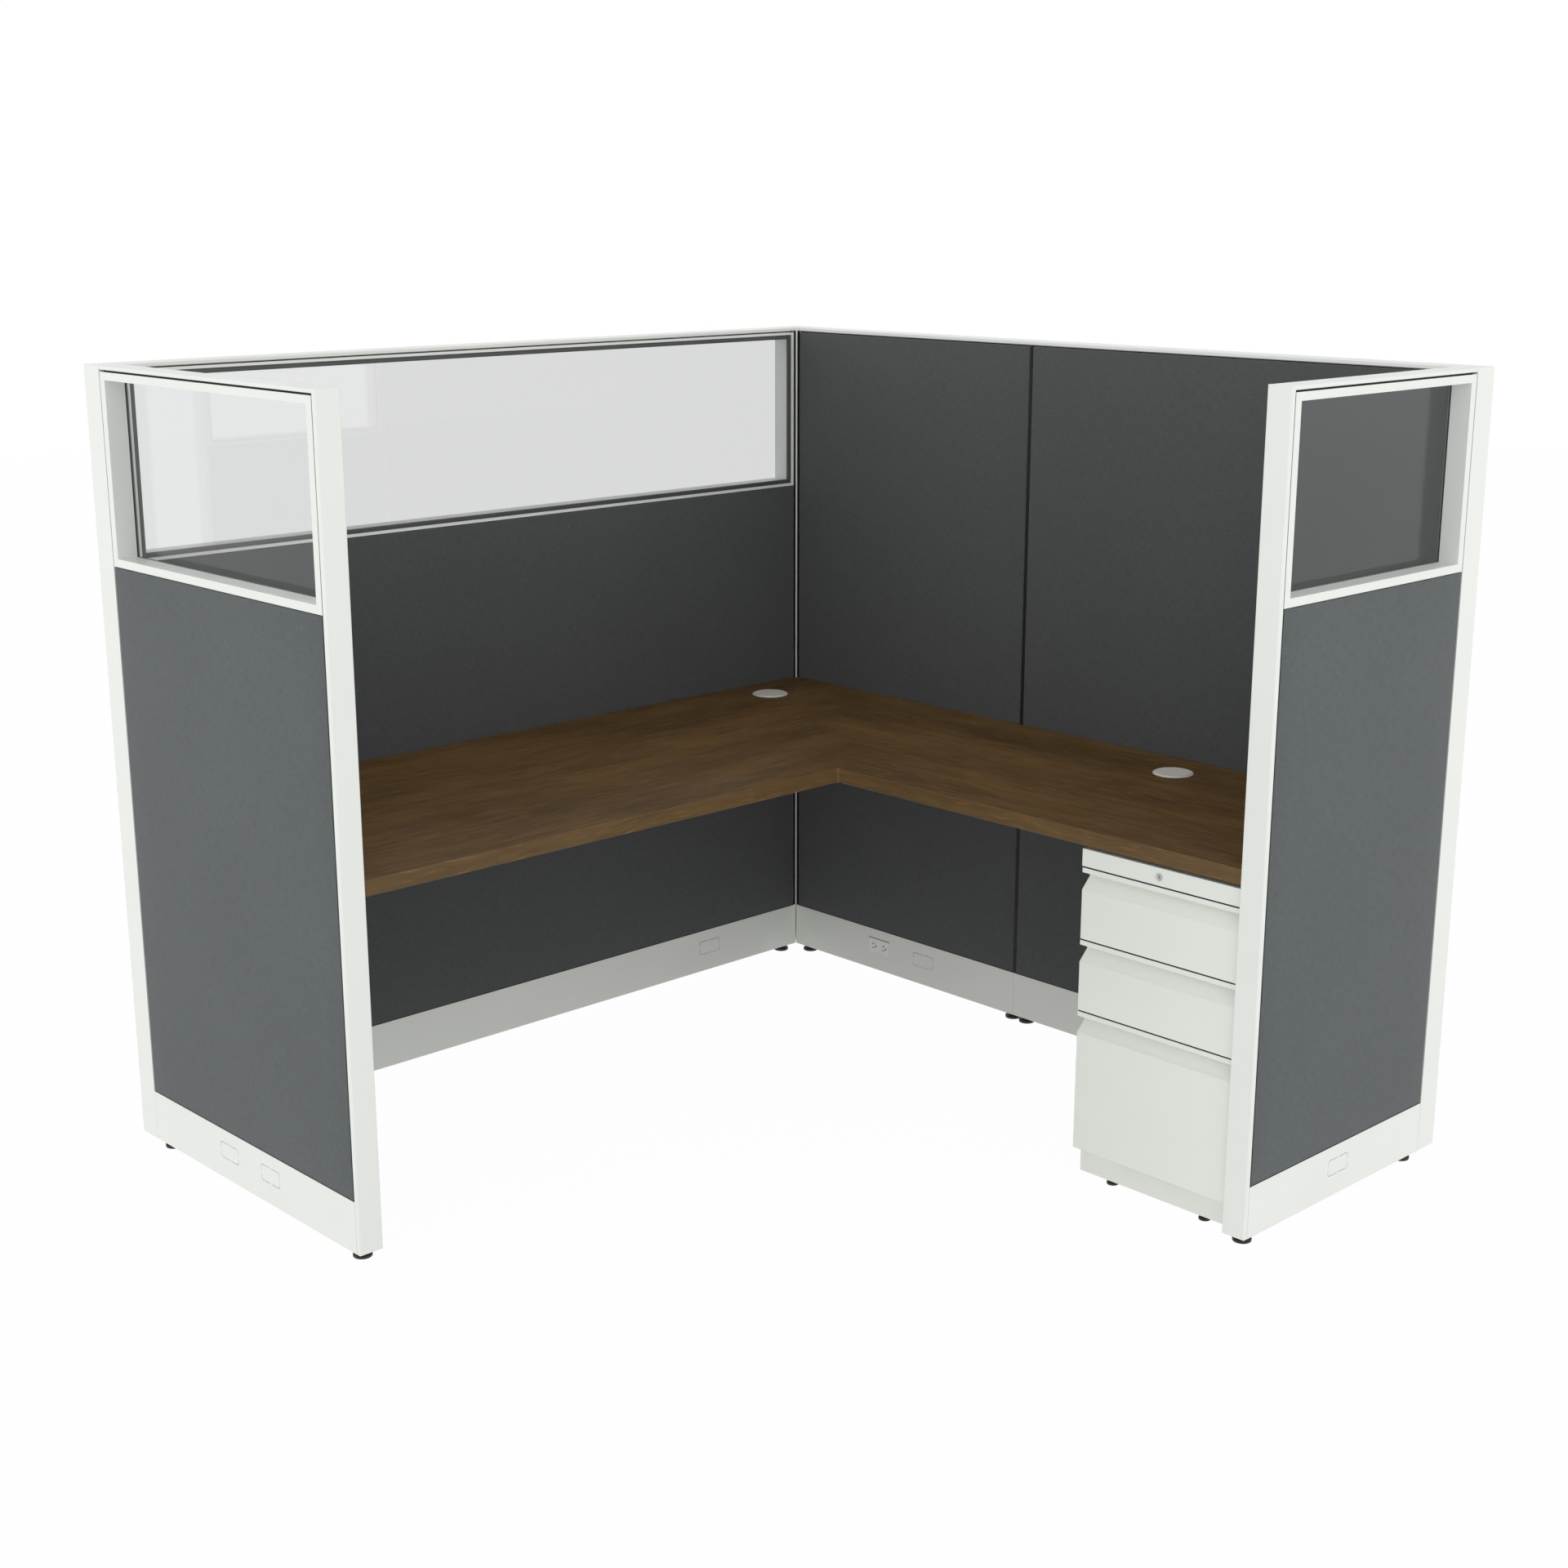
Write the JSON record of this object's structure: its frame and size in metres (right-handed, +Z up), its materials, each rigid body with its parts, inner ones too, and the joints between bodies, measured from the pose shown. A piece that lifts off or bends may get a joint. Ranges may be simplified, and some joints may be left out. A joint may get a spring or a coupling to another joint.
{
  "type": "cubicle workstation",
  "caption": "Office cubicle of fabric panels with glazed upper windows, an L-shaped wood-look worksurface and a lockable box/box/file drawer pedestal.",
  "frame": {"origin": "centre of the plan's bounding square, on the floor", "axes": "+X along the back wall towards the pedestal, +Y along the long side wall towards the back wall, +Z up"},
  "size_m": [1.9504, 1.9504, 1.6425],
  "materials": {
    "charcoal_steel": "matte powder coat",
    "slate_fabric": "woven panel fabric",
    "white_powder_coat": "smooth satin powder coat",
    "light_grey_steel": "satin paint",
    "glass": "clear polished",
    "black_rubber": "matte",
    "zinc_steel": "bright zinc",
    "black_plastic": "matte",
    "grey_white_plastic": "fine matte",
    "walnut_laminate": "satin laminate",
    "walnut_edge_band": "satin",
    "silver_lock": "satin chrome"
  },
  "bodies": {
    "workstation": {"side_frame": "charcoal_steel", "back_short_frame": "charcoal_steel", "back_long_frame": "charcoal_steel", "left_wing_frame": "charcoal_steel", "right_wing_frame": "charcoal_steel", "side_outer_tile": "slate_fabric", "side_inner_tile": "slate_fabric", "back_outer_tiles": "slate_fabric", "back_short_tile": "slate_fabric", "back_long_tile": "slate_fabric", "left_wing_outer_tile": "slate_fabric", "left_wing_inner_tile": "slate_fabric", "right_wing_outer_tile": "slate_fabric", "right_wing_inner_tile": "slate_fabric", "side_window_casings": "white_powder_coat", "left_wing_window_casings": "white_powder_coat", "right_wing_window_casings": "white_powder_coat", "side_glass": "glass", "left_wing_glass": "glass", "right_wing_glass": "glass", "window_gaskets": "black_rubber", "side_cap": "white_powder_coat", "back_caps": "white_powder_coat", "left_wing_cap": "white_powder_coat", "right_wing_cap": "white_powder_coat", "corner_posts": "zinc_steel", "corner_covers": "white_powder_coat", "inner_corner_trims": "white_powder_coat", "corner_seals": "black_rubber", "end_trims": "white_powder_coat", "panel_connectors": "zinc_steel", "outer_base_covers": "white_powder_coat", "inner_base_covers": "white_powder_coat", "raceway_carriers": "zinc_steel", "power_block": "black_plastic", "receptacle": "grey_white_plastic", "panel_glides": "black_plastic", "worksurface": "walnut_laminate", "edge_band": "walnut_edge_band", "worksurface_brackets": "charcoal_steel", "grommet_sleeves": "grey_white_plastic", "pedestal_case": "white_powder_coat", "pedestal_plinth": "white_powder_coat", "lock_rail": "white_powder_coat", "case_slides": "zinc_steel", "lock_housing": "silver_lock", "pedestal_glides": "black_plastic"},
    "upper_drawer": {"upper_front": "white_powder_coat", "upper_drawer": "light_grey_steel"},
    "upper_slide_middles": {"upper_slides": "zinc_steel"},
    "middle_drawer": {"middle_front": "white_powder_coat", "middle_drawer": "light_grey_steel"},
    "middle_slide_middles": {"middle_slides": "zinc_steel"},
    "file_drawer": {"file_front": "white_powder_coat", "file_drawer": "light_grey_steel"},
    "file_slide_middles": {"file_slides": "zinc_steel"},
    "lock_plug": {"lock_plug": "silver_lock"},
    "lock_bar": {"lock_bar": "zinc_steel"},
    "corner_grommet_cap": {"corner_grommet_cap": "grey_white_plastic"},
    "right_grommet_cap": {"right_grommet_cap": "grey_white_plastic"}
  },
  "joints": [
    {"name": "upper_drawer_slide", "type": "slide", "parent": "workstation", "child": "upper_drawer", "axis": [0, -1, 0], "range_m": [0, 0.5]},
    {"name": "upper_slide_middles_slide", "type": "slide", "parent": "workstation", "child": "upper_slide_middles", "axis": [0, -1, 0], "range_m": [0, 0.25]},
    {"name": "middle_drawer_slide", "type": "slide", "parent": "workstation", "child": "middle_drawer", "axis": [0, -1, 0], "range_m": [0, 0.5]},
    {"name": "middle_slide_middles_slide", "type": "slide", "parent": "workstation", "child": "middle_slide_middles", "axis": [0, -1, 0], "range_m": [0, 0.25]},
    {"name": "file_drawer_slide", "type": "slide", "parent": "workstation", "child": "file_drawer", "axis": [0, -1, 0], "range_m": [0, 0.5]},
    {"name": "file_slide_middles_slide", "type": "slide", "parent": "workstation", "child": "file_slide_middles", "axis": [0, -1, 0], "range_m": [0, 0.25]},
    {"name": "lock_turn", "type": "hinge", "parent": "workstation", "child": "lock_plug", "pos_m": [0.7268, 0.3088, 0.69265], "axis": [0, 1, 0], "range_deg": [0, 90]},
    {"name": "lock_bar_lift", "type": "slide", "parent": "workstation", "child": "lock_bar", "axis": [0, 0, 1], "range_m": [0, 0.008]},
    {"name": "corner_grommet_cap_lift", "type": "slide", "parent": "workstation", "child": "corner_grommet_cap", "axis": [0, 0, 1], "range_m": [0, 0.012]},
    {"name": "right_grommet_cap_lift", "type": "slide", "parent": "workstation", "child": "right_grommet_cap", "axis": [0, 0, 1], "range_m": [0, 0.012]}
  ],
  "couplings": [
    {"joint": "upper_slide_middles_slide", "follows": "upper_drawer_slide", "ratio": 0.5},
    {"joint": "middle_slide_middles_slide", "follows": "middle_drawer_slide", "ratio": 0.5},
    {"joint": "file_slide_middles_slide", "follows": "file_drawer_slide", "ratio": 0.5},
    {"joint": "lock_turn", "follows": "lock_bar_lift", "rad_per_m": 196.35}
  ]
}
